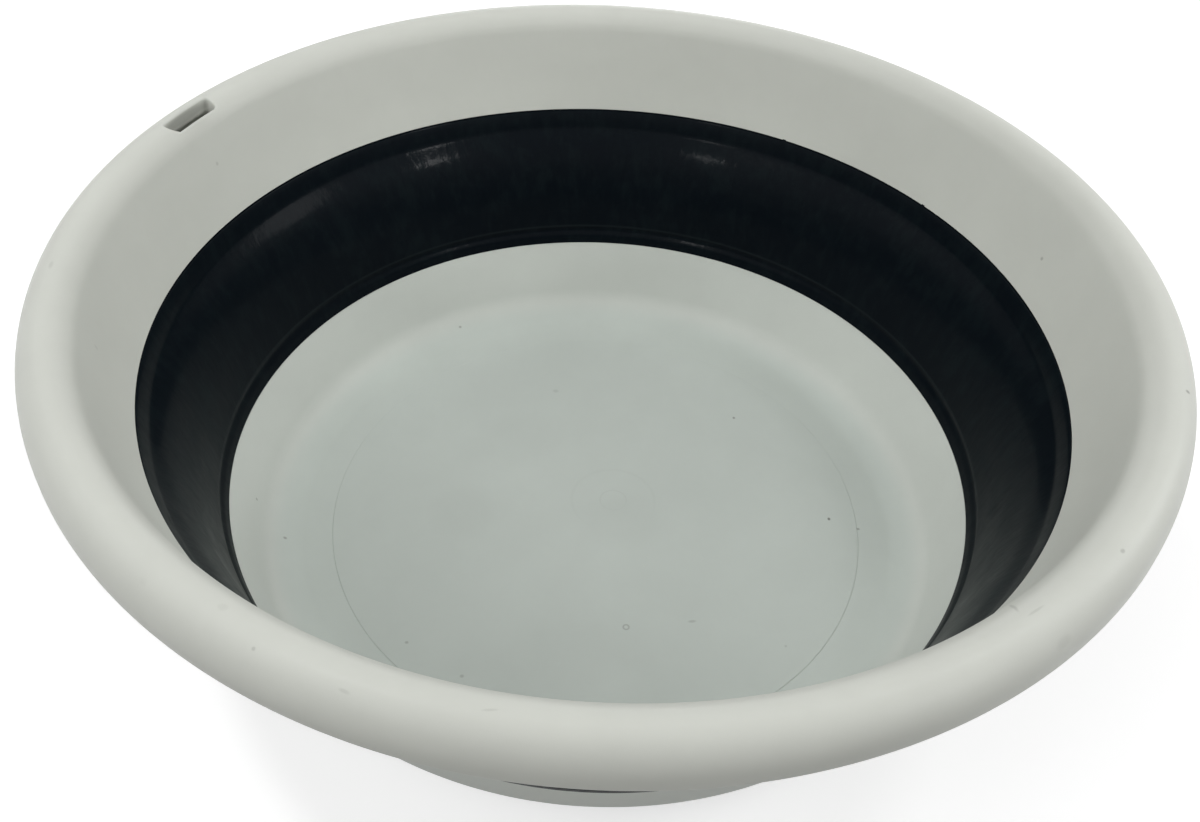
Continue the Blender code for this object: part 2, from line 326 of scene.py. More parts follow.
# The outline runs from the middle of the floor up the inside, over the tongue and the collar, and
# back along the underside to the gate.
dish_outline = [(0, disc_level)] + [(radius, disc_level) for radius in FLOOR_ROWS]
dish_outline += arc(
    (DISC_RADIUS - DISC_ROUND[0], disc_level - DISC_ROUND[1]), DISC_ROUND, 90, 0, EDGE_STEPS,
)
dish_outline += [(DISC_RADIUS + DISC_DRAFT, floor_level), (FLOOR_EDGE_ROW, floor_level)]
dish_outline += arc(inner_fillet, (FLOOR_FILLET, FLOOR_FILLET), -90, slope, FILLET_STEPS)
dish_outline += [
    on_band(BAND_LENGTH + DISH_WALL_ROW),
    on_band(BAND_LENGTH + SEAT_GAP),
    on_band(BAND_LENGTH + SEAT_GAP, TONGUE_INNER),
    on_band(BAND_LENGTH - LOWER_TONGUE_LENGTH, TONGUE_INNER),
    on_band(BAND_LENGTH - LOWER_TONGUE_LENGTH, TONGUE_OUTER),
    on_band(BAND_LENGTH - LOWER_LIP_STEP + SEAT_GAP, TONGUE_OUTER),
]
dish_outline += arc(
    (collar_radius - COLLAR_EDGE, collar_top - COLLAR_EDGE), (COLLAR_EDGE, COLLAR_EDGE),
    90, 0, EDGE_STEPS,
)
dish_outline += arc(
    (collar_radius - COLLAR_DRAFT - COLLAR_WALL / 2, collar_bottom + COLLAR_WALL / 2),
    (COLLAR_WALL / 2, COLLAR_WALL / 2), 0, -180, ROUND_STEPS,
)
dish_outline += [(collar_inside, groove_wall[1]), groove_wall]
dish_outline += arc(outer_fillet, (outer_radius, outer_radius), slope, -90, FILLET_STEPS)
dish_outline += [(foot_outer + FOOT_DRAFT, FOOT_HEIGHT)]
for middle, start, end in ((foot_outer - FOOT_ROUND, 0, -90), (foot_inner + FOOT_ROUND, -90, -180)):
    dish_outline += arc((middle, FOOT_ROUND), (FOOT_ROUND, FOOT_ROUND), start, end, EDGE_STEPS)
dish_outline += [(foot_inner, FOOT_HEIGHT)] + [(radius, FOOT_HEIGHT) for radius in UNDERSIDE_ROWS]
dish_outline += [
    (GATE_DIMPLE + GATE_DIMPLE_DRAFT, FOOT_HEIGHT),
    (GATE_DIMPLE, FOOT_HEIGHT + GATE_DEPTH),
    (GATE_STUB + GATE_STUB_DRAFT, FOOT_HEIGHT + GATE_DEPTH),
    (GATE_STUB, FOOT_HEIGHT),
    (0, FOOT_HEIGHT),
]

dish = turned_piece("dish", dish_outline, DISH_STEPS, closed=False)

# Pale polypropylene, injection moulded against a finely spark-eroded mould: a soft satin with an
# orange-peel so shallow that it only frays the highlights, slightly cloudy where the melt flowed,
# and translucent enough to soften its own shadows. Use has left specks and scuffs in the grain.
PP_DISH_COLOUR = "#C8CFC9"
# Painted light: the dish's wall colour is paler than its floor colour.
PP_WALL_PAINTED_LIGHT_COLOUR = "#D2D6D0"
# The colour of dirt in specks and scuffs, and of the painted shade in the hanging slot.
PP_DIRT_AND_SHADE_COLOUR = "#5F6058"
PAINTED_WALL_LIGHT_FROM = 4.2
PAINTED_WALL_LIGHT_TO = 9
PP_ROUGHNESS = 0.36
PP_IOR = 1.49
PP_SHINE = 0.1
PP_TRANSLUCENCE = 0.2
PP_LIGHT_REACH = 1.2
PP_SMOOTHER_BY = 0.02
PP_ROUGHER_BY = 0.03
PP_CLOUD_SIZE = 38
PP_CLOUD_SHADES = (0.97, 1.03)
PP_MOTTLE_SIZE = 7
PP_MOTTLE_SHADES = (0.99, 1.008)
PP_PEEL_SIZE = 2.6
PP_GRAIN_SIZE = 0.7
PP_RELIEF_HEIGHT = 0.008
PP_RELIEF_SHARE = 0.5
MARK_CORE = 0.35
DISH_MARKS = (
    # place on the surface, half lengths and turn about Z of each speck, scuff or faint darker patch,
    # its depth
    ((-59.4, 90.1, 6.4), (0.8, 0.6, 0.8), 20, 0.45),
    ((49.1, 50.5, 3.8), (0.7, 0.8, 0.6), 0, 0.6),
    ((80.6, 2.7, 3.8), (0.7, 0.9, 0.6), 0, 0.8),
    ((90.4, -0.8, 3.6), (0.9, 0.7, 0.6), 0, 0.5),
    ((-112.2, -15.7, 15.9), (0.8, 0.7, 0.9), 0, 0.5),
    ((-103.0, -22.4, 4.9), (0.9, 0.7, 0.9), 0, 0.45),
    ((32.5, -44.8, 3.8), (1.8, 0.7, 0.6), 10, 0.25),
    ((-56.4, -59.9, 3.8), (0.8, 0.7, 0.6), 0, 0.35),
    ((-37.8, -70.8, 3.8), (0.9, 0.8, 0.6), 0, 0.3),
    ((-18.8, 59.0, 3.8), (1.6, 1.2, 0.6), 0, 0.14),
    ((62.0, -52.0, 3.8), (0.6, 0.6, 0.6), 0, 0.2),
    # The last four are wide, faint darker patches on the floor.
    ((-31.4, 31.9, 3.8), (24, 17, 9), 30, 0.035),
    ((-45.4, -4.5, 3.8), (17, 15, 9), -60, 0.045),
    ((9.2, -4.4, 3.8), (20, 15, 9), 0, 0.035),
    ((-8.0, -60.0, 3.8), (38, 16, 9), 10, 0.02),
)
GATE_PLACE = (5.3, 5.0, 3.8)
GATE_RINGS = ((4.6, 0.5, 0.07), (14.5, 0.9, 0.03))
FIBRE_PLACE = (11.5, -48.7, 3.8)
FIBRE_RING = (0.9, 0.45, 0.4)


def ring_mark(tree, place, centre, radius, width):
    """How nearly a point lies on a circle about a centre, from 0 to 1."""
    apart = add_node(tree, "ShaderNodeVectorMath", {"operation": "DISTANCE"}, {
        0: place, 1: tuple(Vector(centre) * MM),
    })
    off = add_node(tree, "ShaderNodeMath", {"operation": "SUBTRACT"}, {
        0: apart.outputs["Value"], 1: radius * MM,
    })
    off = add_node(tree, "ShaderNodeMath", {"operation": "ABSOLUTE"}, {0: off.outputs[0]})
    return add_node(tree, "ShaderNodeMapRange", {"interpolation_type": "SMOOTHSTEP"}, {
        "Value": off.outputs[0], "From Min": 0, "From Max": width * MM, "To Min": 1, "To Max": 0,
    }).outputs["Result"]


def dirt_and_shade_marks(tree, place, marks):
    """Specks, scuffs, faint darker patches and painted shade: soft-edged ellipsoids at their places,
    the darkest one winning.
    """
    darkest = None
    for centre, halves, turn, depth in marks:
        local = add_node(tree, "ShaderNodeMapping", {"vector_type": "TEXTURE"}, {
            "Vector": place, "Location": tuple(Vector(centre) * MM),
            "Rotation": (0, 0, math.radians(turn)), "Scale": tuple(Vector(halves) * MM),
        })
        apart = add_node(tree, "ShaderNodeVectorMath", {"operation": "LENGTH"}, {
            0: local.outputs["Vector"],
        })
        mark = add_node(tree, "ShaderNodeMapRange", {"interpolation_type": "SMOOTHSTEP"}, {
            "Value": apart.outputs["Value"], "From Min": MARK_CORE, "From Max": 1,
            "To Min": depth, "To Max": 0,
        }).outputs["Result"]
        darkest = mark if darkest is None else add_node(
            tree, "ShaderNodeMath", {"operation": "MAXIMUM"}, {0: darkest, 1: mark},
        ).outputs[0]
    return darkest


def moulded_polypropylene(name, colour, painted_wall_light_colour, marks, rings=()):
    """The basin's pale plastic; where a wall rises from the floor its colour is painted paler, painted
    light for the light that comes through thin walls.
    """
    material = bpy.data.materials.new(name)
    material.use_nodes = True
    tree = material.node_tree
    shader = tree.nodes["Principled BSDF"]
    place = add_node(tree, "ShaderNodeTexCoord").outputs["Object"]
    clouds = add_node(tree, "ShaderNodeTexNoise", inputs={
        "Vector": place, "Scale": 1 / (PP_CLOUD_SIZE * MM), "Detail": 2, "Roughness": 0.5,
    }).outputs["Fac"]
    mottle = add_node(tree, "ShaderNodeTexNoise", inputs={
        "Vector": place, "Scale": 1 / (PP_MOTTLE_SIZE * MM), "Detail": 3, "Roughness": 0.6,
    }).outputs["Fac"]
    height = add_node(tree, "ShaderNodeSeparateXYZ", inputs={"Vector": place}).outputs["Z"]
    # Painted light: from the floor up into the wall the colour is painted paler, standing in for light
    # through the thin wall.
    painted_wall_light = add_node(tree, "ShaderNodeMapRange", {"interpolation_type": "SMOOTHSTEP"}, {
        "Value": height, "From Min": PAINTED_WALL_LIGHT_FROM * MM, "From Max": PAINTED_WALL_LIGHT_TO * MM,
        "To Min": 0, "To Max": 1,
    }).outputs["Result"]
    tint = add_node(tree, "ShaderNodeMix", {"data_type": "RGBA"}, {
        "Factor": painted_wall_light, "A": linear(colour), "B": linear(painted_wall_light_colour),
    }).outputs["Result"]
    tint = add_node(tree, "ShaderNodeMix", {"data_type": "RGBA", "blend_type": "MULTIPLY"}, {
        "Factor": 1, "A": tint,
        "B": add_node(tree, "ShaderNodeMapRange", inputs={
            "Value": clouds, "From Min": 0.2, "From Max": 0.8,
            "To Min": PP_CLOUD_SHADES[0], "To Max": PP_CLOUD_SHADES[1],
        }).outputs["Result"],
    }).outputs["Result"]
    tint = add_node(tree, "ShaderNodeMix", {"data_type": "RGBA", "blend_type": "MULTIPLY"}, {
        "Factor": 1, "A": tint,
        "B": add_node(tree, "ShaderNodeMapRange", inputs={
            "Value": mottle, "From Min": 0.25, "From Max": 0.75,
            "To Min": PP_MOTTLE_SHADES[0], "To Max": PP_MOTTLE_SHADES[1],
        }).outputs["Result"],
    }).outputs["Result"]
    # Painted shade comes in here too: the ring's first two marks darken the inside of the hanging
    # slot.
    dirt_and_shade = dirt_and_shade_marks(tree, place, marks)
    for centre, radius, width, depth in rings:
        ring = ring_mark(tree, place, centre, radius, width)
        ring = add_node(tree, "ShaderNodeMath", {"operation": "MULTIPLY"}, {0: ring, 1: depth})
        dirt_and_shade = add_node(tree, "ShaderNodeMath", {"operation": "MAXIMUM"}, {
            0: dirt_and_shade, 1: ring.outputs[0],
        }).outputs[0]
    tint = add_node(tree, "ShaderNodeMix", {"data_type": "RGBA"}, {
        "Factor": dirt_and_shade, "A": tint, "B": linear(PP_DIRT_AND_SHADE_COLOUR),
    }).outputs["Result"]
    tree.links.new(tint, shader.inputs["Base Color"])

    sheen = add_node(tree, "ShaderNodeMapRange", inputs={
        "Value": mottle, "From Min": 0.3, "From Max": 0.7,
        "To Min": PP_ROUGHNESS - PP_SMOOTHER_BY, "To Max": PP_ROUGHNESS + PP_ROUGHER_BY,
    }).outputs["Result"]
    tree.links.new(sheen, shader.inputs["Roughness"])

    peel = add_node(tree, "ShaderNodeTexNoise", inputs={
        "Vector": place, "Scale": 1 / (PP_PEEL_SIZE * MM), "Detail": 1,
    }).outputs["Fac"]
    grain = add_node(tree, "ShaderNodeTexNoise", inputs={
        "Vector": place, "Scale": 1 / (PP_GRAIN_SIZE * MM), "Detail": 2,
    }).outputs["Fac"]
    relief = add_node(tree, "ShaderNodeBump", inputs={
        "Height": peel, "Strength": PP_RELIEF_SHARE, "Distance": PP_RELIEF_HEIGHT * MM,
    })
    relief = add_node(tree, "ShaderNodeBump", inputs={
        "Height": grain, "Strength": PP_RELIEF_SHARE, "Distance": PP_RELIEF_HEIGHT * MM,
        "Normal": relief.outputs["Normal"],
    })
    tree.links.new(relief.outputs["Normal"], shader.inputs["Normal"])
    shader.inputs["IOR"].default_value = PP_IOR
    shader.inputs["Specular IOR Level"].default_value = PP_SHINE
    shader.inputs["Subsurface Weight"].default_value = PP_TRANSLUCENCE
    shader.inputs["Subsurface Radius"].default_value = (1, 1, 1)
    shader.inputs["Subsurface Scale"].default_value = PP_LIGHT_REACH * MM
    return material


dish_rings = [(GATE_PLACE, *ring) for ring in GATE_RINGS] + [(FIBRE_PLACE, *FIBRE_RING)]
dish.data.materials.append(moulded_polypropylene(
    "moulded_polypropylene_dish", PP_DISH_COLOUR, PP_WALL_PAINTED_LIGHT_COLOUR, DISH_MARKS, dish_rings,
))
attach(dish, "base")
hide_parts("base_dish")


# The upper ring: one injection moulding in the same polypropylene. Its sloping wall rolls over into
# a rim, open underneath, with a hanging slot cut down through the roll at the back left.

ring_low, ring_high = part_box("upper_ring")
RIM_RADIUS = ring_high.x / MM
RIM_TOP = ring_high.z / MM
ROLL_HALF = 8
CREST_RISE = 10.3
SKIRT_DROP = 2.7
ROLL = (RIM_RADIUS - ROLL_HALF, RIM_TOP - CREST_RISE)
UPPER_TONGUE_LENGTH = 4.6
RING_FACE_END = 0.2
RING_WALL_ROWS = (6, 14)
RING_STEPS = 720
OUTER_ROLL_STEPS = 14
INNER_ROLL_STEPS = 8
INNER_ROLL_END = 84
SHOULDER_STEPS = 2
RING_BEARING = 0.25
SLOT_BEARING = 157.2
SLOT_RADIUS = 149.5
SLOT_LENGTH = 20.3
SLOT_WIDTH = 4.4
SLOT_SLANT = 1.0
SLOT_CORNER = 1.35
SLOT_MOUTH = 0.85
MOUTH_TURNS = (25, 50, 70, 90)
SLOT_REACH = 4.75
SLOT_MARGIN = 6
SLOT_OUTER_ROWS = (153.0, 151.3, 149.5, 147.7, 146.0)
SLOT_INNER_ROWS = (152.4, 151.0, 149.5, 148.0, 146.75)
SLOT_TUBE_DEPTH = 5
SLOT_TUBE_WALL = 0.45
SKIN_TOLERANCE = 0.01


def roll_angle(radii, radius):
    """Where on the roll's upper quarters a radius from the axis is reached, in degrees."""
    return math.degrees(math.acos((radius - ROLL[0]) / radii[0]))


def on_roll(radii, angle):
    """The point of one of the roll's two skins at an angle in degrees."""
    return arc(ROLL, radii, angle, angle, 1)[0]


outer_roll = (ROLL_HALF, CREST_RISE)
inner_roll = (ROLL_HALF - WALL, CREST_RISE - WALL)
# The wall's straight face runs from the band's top and just touches the roll, where they meet.
from_roll_x = (BAND_TOP.x - ROLL[0]) / outer_roll[0]
from_roll_y = (BAND_TOP.y - ROLL[1]) / outer_roll[1]
towards_band = math.degrees(math.atan2(from_roll_y, from_roll_x)) % 360
meeting = towards_band - math.degrees(math.acos(1 / math.hypot(from_roll_x, from_roll_y)))

slot_outer = [roll_angle(outer_roll, radius) for radius in SLOT_OUTER_ROWS]
slot_inner = [roll_angle(inner_roll, radius) for radius in SLOT_INNER_ROWS]

# The outline runs from the crest down the outside and round the skirt's edge, back up the open
# roll's inside, down the wall's outside to the tongue, and up the inside to the crest again.
ring_outline = arc(ROLL, outer_roll, slot_outer[0] - SLOT_MARGIN, 0, OUTER_ROLL_STEPS)
ring_outline += arc(
    (RIM_RADIUS - WALL / 2, ROLL[1] - SKIRT_DROP + WALL / 2), (WALL / 2, WALL / 2),
    0, -180, ROUND_STEPS,
)
ring_outline += arc(ROLL, inner_roll, 0, INNER_ROLL_END, INNER_ROLL_STEPS)
ring_outline += [on_roll(inner_roll, angle) for angle in slot_inner + [meeting]]
ring_outline += [
    on_band(-RING_WALL_ROWS[1], WALL),
    on_band(-SEAT_GAP, WALL),
    on_band(-SEAT_GAP, TONGUE_OUTER),
    on_band(UPPER_TONGUE_LENGTH, TONGUE_OUTER),
    on_band(UPPER_TONGUE_LENGTH, TONGUE_INNER),
    on_band(RING_FACE_END, TONGUE_INNER),
    on_band(RING_FACE_END),
]
ring_outline += [on_band(-up) for up in RING_WALL_ROWS]
ring_outline += arc(ROLL, outer_roll, meeting, slot_outer[-1] + SLOT_MARGIN, SHOULDER_STEPS)
ring_outline += [on_roll(outer_roll, angle) for angle in reversed(slot_outer)]

ring = turned_piece("ring_shell", ring_outline, RING_STEPS, RING_BEARING)

# The hanging slot: a core pin in the mould leaves it, with rounded corners, a softly rounded mouth
# and a short tube that stiffens it inside the roll. A patch of faces goes from both skins of the
# roll, the edge of each hole is drawn in to the slot's outline, and the two are bridged.


def corner_key(place):
    """A corner's place to a thousandth of a millimetre, by which it is found again."""
    return tuple(round(length / MM, 3) for length in place)


def select_open_edges():
    """Select every edge of the piece being edited that has a face on one side only."""
    bpy.ops.mesh.select_mode(type="EDGE")
    bpy.ops.mesh.select_non_manifold(use_wire=False, use_boundary=True, use_multi_face=False,
                                     use_non_contiguous=False, use_verts=False)


def in_slot_patch(face, radii, rows):
    """Whether a face of one of the roll's two skins lies in the patch round the slot."""
    bearing = math.degrees(math.atan2(face.center.y, face.center.x)) - SLOT_BEARING
    if abs(bearing) > SLOT_REACH or not rows[-1] < face.center.xy.length / MM < rows[0]:
        return False
    for corner in face.vertices:
        place = ring.data.vertices[corner].co / MM
        across, up = (place.xy.length - ROLL[0]) / radii[0], (place.z - ROLL[1]) / radii[1]
        if up < 0 or abs(math.hypot(across, up) - 1) > SKIN_TOLERANCE:
            return False
    return True


def slot_point(point, radii, spread, drop):
    """A point of a hole's edge moved to the slot's outline, widened by spread and lowered.

    The slot's left end is cut at a slant, as the mould's core pin leaves it.
    """
    along = (math.atan2(point.y, point.x) - math.radians(SLOT_BEARING)) * SLOT_RADIUS
    across = point.xy.length / MM - SLOT_RADIUS
    reach, half = SLOT_LENGTH / 2 - SLOT_CORNER, SLOT_WIDTH / 2 - SLOT_CORNER
    core_along, core_across = max(-reach, min(reach, along)), max(-half, min(half, across))
    away = Vector((along - core_along, across - core_across)).normalized() * (SLOT_CORNER + spread)
    along, across = core_along + away.x, core_across + away.y
    if along > 0:
        along *= 1 - SLOT_SLANT / (SLOT_LENGTH / 2) * (0.5 - across / SLOT_WIDTH)
    bearing = math.radians(SLOT_BEARING) + along / SLOT_RADIUS
    radius = SLOT_RADIUS + across
    rise = radii[1] * math.sqrt(1 - ((radius - ROLL[0]) / radii[0]) ** 2)
    return Vector((
        radius * math.cos(bearing), radius * math.sin(bearing), ROLL[1] + rise - drop,
    )) * MM


# Each loop of corners is spread out from the slot's outline and dropped below the skin.
mouth = [(SLOT_MOUTH, 0)]
mouth += [
    (SLOT_MOUTH * (1 - math.sin(math.radians(turn))), SLOT_MOUTH * (1 - math.cos(math.radians(turn))))
    for turn in MOUTH_TURNS
]
tube = [(0, SLOT_TUBE_DEPTH), (SLOT_TUBE_WALL, SLOT_TUBE_DEPTH)]
slot_skins = (
    (outer_roll, SLOT_OUTER_ROWS, mouth + tube),
    (inner_roll, SLOT_INNER_ROWS, [(SLOT_TUBE_WALL, 0)]),
)
for radii, rows, loops in slot_skins:
    bpy.ops.object.mode_set(mode="EDIT")
    bpy.ops.mesh.select_mode(type="FACE")
    bpy.ops.mesh.select_all(action="DESELECT")
    bpy.ops.object.mode_set(mode="OBJECT")
    patch_corners = set()
    for face in ring.data.polygons:
        face.select = in_slot_patch(face, radii, rows)
        if face.select:
            patch_corners.update(
                corner_key(ring.data.vertices[corner].co) for corner in face.vertices
            )
    bpy.ops.object.mode_set(mode="EDIT")
    bpy.ops.mesh.delete(type="FACE")
    select_open_edges()
    if radii == inner_roll:
        # The outer skin's hole is open too: only the inner skin's edge is kept selected.
        bpy.ops.object.mode_set(mode="OBJECT")
        for edge in ring.data.edges:
            edge.select = edge.select and all(
                corner_key(ring.data.vertices[end].co) in patch_corners for end in edge.vertices
            )
        bpy.ops.object.mode_set(mode="EDIT")
    for spread, drop in loops:
        bpy.ops.mesh.extrude_edges_move()
        bpy.ops.object.mode_set(mode="OBJECT")
        for vertex in ring.data.vertices:
            if vertex.select:
                vertex.co = slot_point(vertex.co, radii, spread, drop)
        bpy.ops.object.mode_set(mode="EDIT")
    bpy.ops.object.mode_set(mode="OBJECT")
bpy.ops.object.mode_set(mode="EDIT")
bpy.ops.mesh.select_all(action="DESELECT")
select_open_edges()
bpy.ops.mesh.bridge_edge_loops()
bpy.ops.mesh.select_all(action="SELECT")
bpy.ops.mesh.normals_make_consistent(inside=False)
bpy.ops.object.mode_set(mode="OBJECT")
bpy.ops.object.shade_smooth_by_angle(angle=SHARP_ANGLE)

PP_RING_COLOUR = "#CACCC5"
RING_MARKS_AND_SLOT_SHADE = (
    # as the dish's marks; the first two are painted shade that darkens the inside of the hanging slot
    ((-137.8, 57.9, 110.0), (16, 5.0, 4.8), 67.2, 0.22),
    ((-139.6, 58.7, 112.4), (17, 2.6, 2.6), 67.2, 0.45),
    ((-131.0, 55.2, 98.3), (0.8, 0.8, 1.1), 0, 0.22),
    ((135.5, 37.9, 94.0), (0.8, 0.8, 0.8), 0, 0.4),
    ((-137.1, -39.0, 99.5), (0.9, 0.9, 1.6), 0, 0.12),
    ((116.7, -100.6, 114.6), (1.0, 0.7, 0.8), 40, 0.3),
    ((89.7, -117.2, 112.6), (0.55, 3.4, 3.6), 4, 0.23),
    ((93.4, -119.0, 115.0), (3.4, 0.45, 0.8), 37, 0.16),
    ((148.5, -45.0, 114.1), (0.9, 0.8, 1.2), 0, 0.5),
    ((-46.6, -148.6, 113.6), (1.8, 0.5, 0.9), -22, 0.13),
    ((-18.0, -151.4, 114.9), (2.2, 0.4, 0.8), 6, 0.13),
    ((-93.2, -125.4, 113.4), (1.4, 1.0, 1.0), -36, 0.03),
    ((-74.6, -131.6, 114.9), (1.6, 1.3, 0.8), -25, 0.07),
    ((-66.2, -140.5, 114.0), (0.6, 0.6, 0.6), 0, 0.22),
    ((99.7, -123.4, 110.5), (3.2, 2.0, 2.0), 38, 0.08),
    ((-150.5, -24.0, 114.9), (0.8, 2.2, 0.8), 10, 0.12),
)
ring.data.materials.append(moulded_polypropylene(
    "moulded_polypropylene_ring", PP_RING_COLOUR, PP_RING_COLOUR, RING_MARKS_AND_SLOT_SHADE,
))
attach(ring, "ring")
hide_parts("upper_ring")


# The folding band: one moulding in black thermoplastic elastomer, bonded round the tongues of the
# ring and the dish. Its stiff panel hangs between two thin hinge lines, and turns inside out when
# the basin folds.

LEAF_THICKNESS = 0.6
UPPER_LIP_LENGTH = 7.3
LOWER_LIP_LENGTH = 5.2
PANEL_THICKNESS = 2
PANEL_INSET = 0.2
HINGE_THICKNESS = 0.7
HINGE_LENGTH = 1.1
HINGE_TAPER = 0.7
HINGE_INSET = 0.5
FOLD_GAP = 0.3
LIP_EDGE = 0.3
LIP_GROOVE = 0.4
TOP_LEAF_START = RING_FACE_END + SEAT_GAP
BAND_STEPS = 480
FLASH_BEARINGS = (63.5, 37.8)
FLASH_LENGTH = 1.0
FLASH_THICKNESS = 0.12
FLASH_TAPER = 0.7
FLASH_FOOT_DOWN = 0.37
FLASH_FOOT_OUT = 0.02
FLASH_FOOT_REACH = 0.12
LEAF_OUTSIDE = LIP_THICKNESS - LEAF_THICKNESS
PANEL_OUTSIDE = PANEL_INSET + PANEL_THICKNESS

upper_fold = UPPER_LIP_LENGTH + FOLD_GAP
lower_fold = BAND_LENGTH - LOWER_LIP_LENGTH - FOLD_GAP
upper_groove = UPPER_TONGUE_LENGTH + FOLD_GAP
lower_groove = BAND_LENGTH - LOWER_TONGUE_LENGTH - FOLD_GAP
lip_top = BAND_LENGTH - LOWER_LIP_LENGTH

# The inner face is drawn from the lower edge of the lower lip up to the top edge of the upper lip,
# and the outer face from the top down, both as distances down the band and out from its chord. The
# panel bellies inwards from a shallow cove under the upper lip, and rolls over below into the
# groove above the lower lip; its outer face follows the belly.
inner_face = [
    (BAND_LENGTH, 0.12), (BAND_LENGTH - 0.12, 0.03), (52.6, 0.0), (51.8, -0.04), (51, -0.08),
    (50.3, -0.09), (49.8, -0.05), (49.2, 0.05), (48.6, 0.17), (48.2, 0.24), (47.8, 0.25),
    (47.4, 0.18), (47.0, 0.03), (46.6, -0.14), (46.2, -0.27), (45.7, -0.35), (45, -0.45),
    (44, -0.57), (42, -0.82), (39, -1.17), (35, -1.55), (31, -1.8), (28, -1.88), (24, -1.86),
    (20, -1.71), (17.5, -1.55), (15, -1.29), (13.5, -1.06), (12, -0.77), (10, -0.34), (9.2, -0.17),
    (8.5, -0.03), (8.1, 0.04), (7.8, 0.08), (7.4, 0.11), (6.6, 0.085), (5.6, 0.035), (4.7, 0.005),
    (3, 0.0), (TOP_LEAF_START + 0.9, 0),
    (TOP_LEAF_START + LIP_GROOVE + 0.25, 0.05), (TOP_LEAF_START + LIP_GROOVE, LIP_GROOVE),
    (TOP_LEAF_START, LIP_GROOVE),
]
outer_face = [
    (0, LIP_THICKNESS - LIP_EDGE), (LIP_EDGE, LIP_THICKNESS),
    (UPPER_LIP_LENGTH - HINGE_TAPER, LIP_THICKNESS),
    (UPPER_LIP_LENGTH, PANEL_OUTSIDE), (upper_fold + HINGE_LENGTH, PANEL_OUTSIDE),
    (13, PANEL_OUTSIDE - 0.6), (17, PANEL_OUTSIDE - 1.2), (22, PANEL_OUTSIDE - 1.6),
    (28, PANEL_OUTSIDE - 1.7), (34, PANEL_OUTSIDE - 1.5), (39, PANEL_OUTSIDE - 0.95),
    (43.5, PANEL_OUTSIDE - 0.5), (lower_fold - HINGE_LENGTH - HINGE_TAPER, PANEL_OUTSIDE - 0.3),
    (lower_fold - HINGE_LENGTH, HINGE_INSET + HINGE_THICKNESS),
    (lip_top, HINGE_INSET + HINGE_THICKNESS),
    (lip_top + HINGE_TAPER, LIP_THICKNESS), (BAND_LENGTH - LOWER_LIP_STEP, LIP_THICKNESS),
]
band_outline = [on_band(down, out) for down, out in outer_face]
band_outline += [
    on_band(BAND_LENGTH - LOWER_LIP_STEP, LEAF_OUTSIDE),
    on_band(lower_groove, LEAF_OUTSIDE),
    on_band(lower_groove, LEAF_THICKNESS),
    on_band(BAND_LENGTH, LEAF_THICKNESS),
]
band_outline += [on_band(down, out) for down, out in inner_face]
band_outline += [
    on_band(TOP_LEAF_START, LEAF_THICKNESS),
    on_band(upper_groove, LEAF_THICKNESS),
    on_band(upper_groove, LEAF_OUTSIDE),
    on_band(0, LEAF_OUTSIDE),
]
band = turned_piece("folding_band", band_outline, BAND_STEPS)

# Two specks of flash were left at the band's top edge, where the mould closes on the plastic: one
# face of the edge is drawn up over the ring's wall, thin and narrowed to its end.
flash_foot = Vector(on_band(TOP_LEAF_START + LIP_GROOVE + FLASH_FOOT_DOWN, FLASH_FOOT_OUT))
for bearing in FLASH_BEARINGS:
    bpy.ops.object.mode_set(mode="EDIT")
    bpy.ops.mesh.select_mode(type="FACE")
    bpy.ops.mesh.select_all(action="DESELECT")
    bpy.ops.object.mode_set(mode="OBJECT")
    for face in band.data.polygons:
        turn = math.degrees(math.atan2(face.center.y, face.center.x)) - bearing
        place = Vector((face.center.xy.length, face.center.z)) / MM
        near_foot = (place - flash_foot).length < FLASH_FOOT_REACH
        face.select = near_foot and abs(turn) < 180 / BAND_STEPS
    up = Vector(on_band(-FLASH_LENGTH, -FLASH_THICKNESS)) - Vector(on_band(0, 0))
    turn = math.radians(bearing)
    bpy.ops.object.mode_set(mode="EDIT")
    bpy.ops.mesh.extrude_region_move(TRANSFORM_OT_translate={
        "value": Vector((up.x * math.cos(turn), up.x * math.sin(turn), up.y)) * MM,
    })
    bpy.ops.transform.resize(value=(FLASH_TAPER, FLASH_TAPER, FLASH_TAPER))
    bpy.ops.object.mode_set(mode="OBJECT")

# Black thermoplastic elastomer, moulded against a polished core: nearly black with a blue cast,
# dull seen square on and glossier at a glancing angle, with faint upright smears and water marks.
# A painted highlight lightens the ridge at the panel's lower edge a little towards grey.
TPE_COLOUR = "#0A1015"
TPE_BLOOM_COLOUR = "#11191C"
TPE_RIDGE_HIGHLIGHT_COLOUR = "#161C1F"
RIDGE_HIGHLIGHT_DOWN = 46
RIDGE_HIGHLIGHT_HALF = 0.8
TPE_BLOOM_FROM = 0.18
TPE_BLOOM_FULL = 0.42
TPE_BLOOM_SHARE = 0.6
TPE_ROUGHNESS = 0.42
TPE_SMOOTHER_BY = 0.06
TPE_ROUGHER_BY = 0.08
TPE_IOR = 1.5
TPE_SHINE = 0.02
TPE_SKIN_WEIGHT = 0.19
TPE_SKIN_ROUGHNESS = 0.14
TPE_SKIN_IOR = 1.22
SMEAR_WIDTH = 3
SMEAR_LENGTH = 18
SMEAR_HEIGHT = 0.1
WATER_MARK_SIZE = 14
elastomer = bpy.data.materials.new("satin_black_elastomer")
elastomer.use_nodes = True
tree = elastomer.node_tree
shader = tree.nodes["Principled BSDF"]
place = add_node(tree, "ShaderNodeTexCoord").outputs["Object"]
